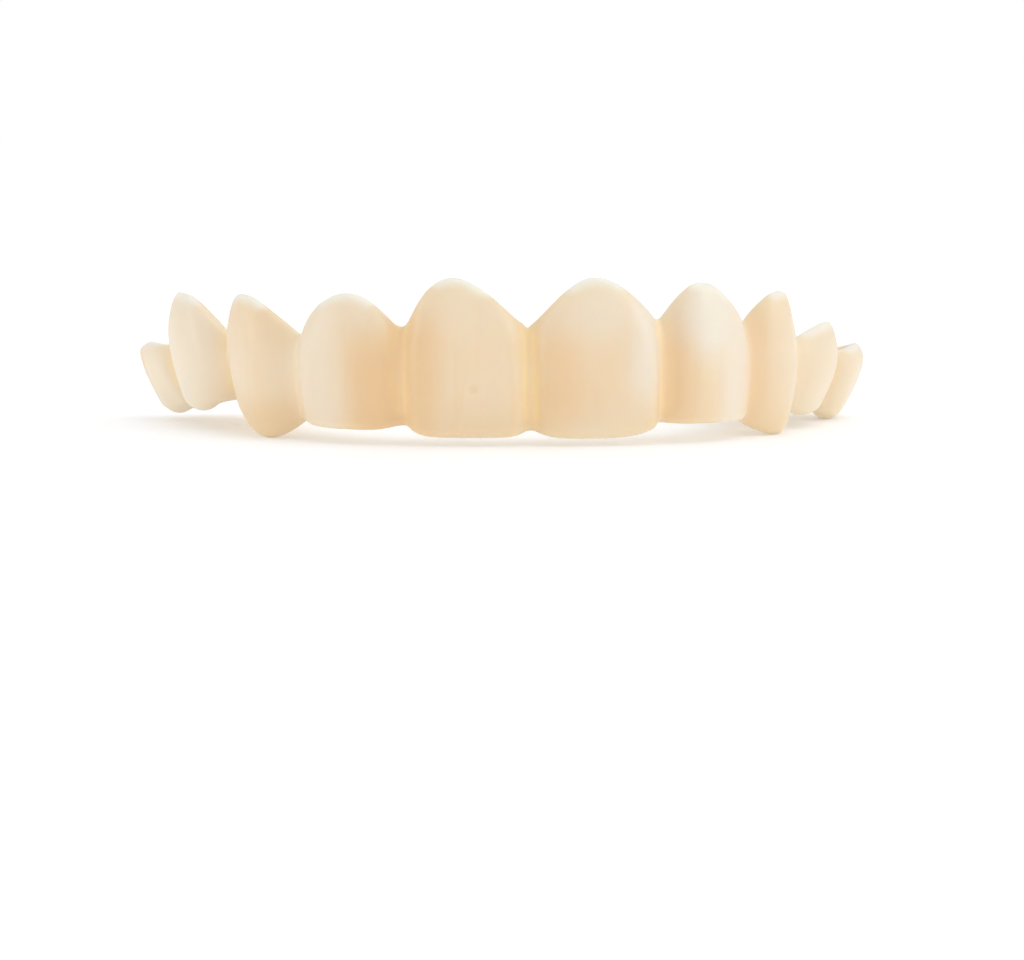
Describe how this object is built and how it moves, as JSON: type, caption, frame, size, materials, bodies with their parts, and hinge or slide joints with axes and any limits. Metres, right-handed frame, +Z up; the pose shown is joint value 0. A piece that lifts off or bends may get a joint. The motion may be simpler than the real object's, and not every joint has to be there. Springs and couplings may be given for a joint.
{
  "type": "clip-on dental veneer",
  "caption": "Clip-on veneer for the upper teeth: a curved row of hollow cream resin tooth caps with scalloped gum edges, moulded in one piece and open above.",
  "frame": {"origin": "centre of the overall footprint, at the height of the lowest biting tips", "axes": "+X to the wearer's left, +Y from the visible front towards the back of the mouth, +Z up to the gums"},
  "size_m": [0.0534, 0.0272, 0.0114],
  "materials": {
    "resin": "satin"
  },
  "bodies": {
    "root": {"veneer_shell": "resin"}
  },
  "joints": []
}
